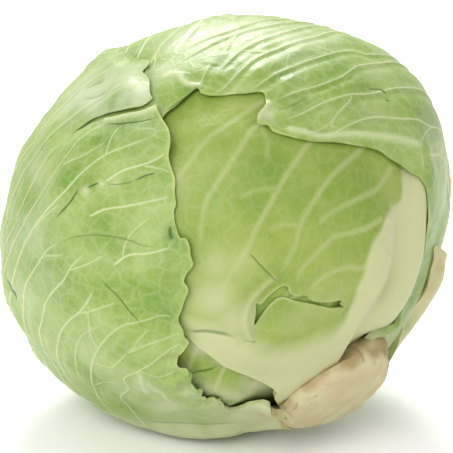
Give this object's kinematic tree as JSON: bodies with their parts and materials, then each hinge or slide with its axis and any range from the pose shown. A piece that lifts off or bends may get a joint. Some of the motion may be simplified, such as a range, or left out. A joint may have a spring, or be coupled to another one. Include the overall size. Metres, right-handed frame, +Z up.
{
  "type": "head cabbage, smooth-leaved",
  "caption": "Whole head of smooth green cabbage lying on its side, with overlapping torn wrapper leaves and a cut stump.",
  "frame": {"origin": "middle of the flat spot that the head rests on, at the surface", "axes": "+Z up from the surface, +X to the right and -Y to the front, where the white rib and the tear show; the stump points down, right and forward"},
  "size_m": [0.1681, 0.1633, 0.1495],
  "materials": {
    "heart_leaf": "smooth, waxy, pale green",
    "cut_stem": "dry cut stalk, matt beige with brown scars",
    "inner_leaf": "smooth, waxy, green to cream",
    "main_leaf": "smooth, waxy, green with a thick white rib",
    "outer_leaf": "smooth, waxy bloom, green with pale veins",
    "trimmed_leaf_base": "cut leaf stalk, cream and matt"
  },
  "bodies": {
    "root": {"heart": "heart_leaf", "stem": "cut_stem", "leaf_under": "inner_leaf", "leaf_main": "main_leaf", "leaf_back": "outer_leaf", "leaf_top": "outer_leaf", "leaf_left": "outer_leaf", "leaf_stub": "trimmed_leaf_base"}
  },
  "joints": []
}
